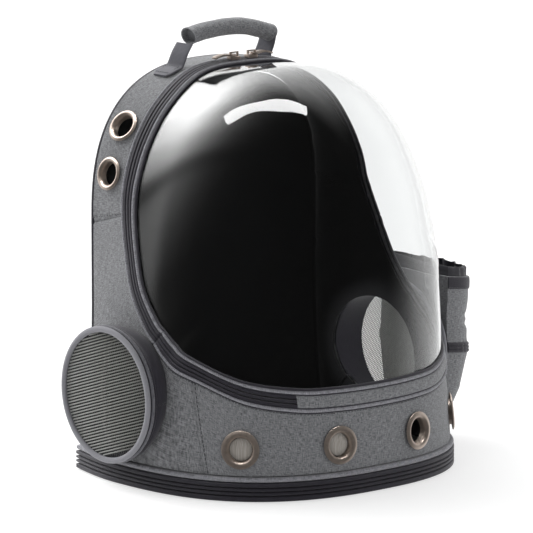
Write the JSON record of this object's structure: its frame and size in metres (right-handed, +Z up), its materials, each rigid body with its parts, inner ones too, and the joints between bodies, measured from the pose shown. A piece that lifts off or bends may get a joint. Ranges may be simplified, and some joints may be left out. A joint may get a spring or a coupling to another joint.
{
  "type": "bubble pet carrier backpack",
  "caption": "Arched fabric pet carrier backpack with a clear bubble dome zipped to its front, eyelets, round mesh windows, a side pocket and a top handle.",
  "frame": {"origin": "on the underside of the base, at its middle between the sides and between the back and the rim's front", "axes": "+Z up, -Y out of the dome, +X to the right as seen from the front"},
  "size_m": [0.4441, 0.3014, 0.437],
  "materials": {
    "grey_cloth": "heather grey woven polyester on foam",
    "dark_tape": "dark zip tape and nylon webbing",
    "slate_cord": "light slate piping",
    "black_lining": "black polyester lining",
    "clear_dome": "clear blown acrylic",
    "bronze": "polished gunmetal plating",
    "dark_net": "dark woven net",
    "pale_net": "pale net",
    "black_plastic": "moulded acetal"
  },
  "bodies": {
    "carrier": {"back_panel": "grey_cloth", "band": "grey_cloth", "side_panel_left": "grey_cloth", "side_panel_right": "grey_cloth", "front_panel": "grey_cloth", "hinge_flap": "grey_cloth", "side_pocket": "grey_cloth", "handle_web_left": "grey_cloth", "handle_web_right": "grey_cloth", "handle_grip": "grey_cloth", "strap_left": "grey_cloth", "strap_right": "grey_cloth", "back_piping": "dark_tape", "base_zip_band": "dark_tape", "base_board": "dark_tape", "zip_tape": "dark_tape", "drum_gusset_left": "dark_tape", "drum_gusset_right": "dark_tape", "pocket_binding": "dark_tape", "pocket_elastic": "dark_tape", "pocket_collar": "dark_tape", "strap_yoke": "dark_tape", "strap_web_left": "dark_tape", "strap_web_right": "dark_tape", "strap_anchor_left": "dark_tape", "strap_anchor_right": "dark_tape", "base_piping": "slate_cord", "rim_cord_inner": "slate_cord", "rim_cord_outer": "slate_cord", "drum_ring_left": "slate_cord", "drum_ring_right": "slate_cord", "lining_side": "black_lining", "lining_back": "black_lining", "floor_mat": "black_lining", "dome": "clear_dome", "eyelet_front_1": "bronze", "eyelet_front_2": "bronze", "eyelet_front_3": "bronze", "eyelet_front_4": "bronze", "eyelet_band_left_1": "bronze", "eyelet_band_left_2": "bronze", "eyelet_band_right_1": "bronze", "eyelet_band_right_2": "bronze", "zip_slider_left": "bronze", "zip_slider_right": "bronze", "drum_net_left": "dark_net", "drum_net_right": "dark_net", "eyelet_net_1": "pale_net", "eyelet_net_2": "pale_net", "strap_buckle_left": "black_plastic", "strap_buckle_right": "black_plastic"},
    "pull_left": {"zip_pull_left": "bronze"},
    "pull_right": {"zip_pull_right": "bronze"}
  },
  "joints": [
    {"name": "pull_left_swing", "type": "hinge", "parent": "carrier", "child": "pull_left", "pos_m": [-0.00581, 0.0774, 0.40214], "axis": [-0.0052, 0.9994, 0.0342], "range_deg": [0, 110]},
    {"name": "pull_right_swing", "type": "hinge", "parent": "carrier", "child": "pull_right", "pos_m": [0.01656, 0.07718, 0.40205], "axis": [-0.0159, -0.9994, -0.0308], "range_deg": [0, 110]}
  ]
}
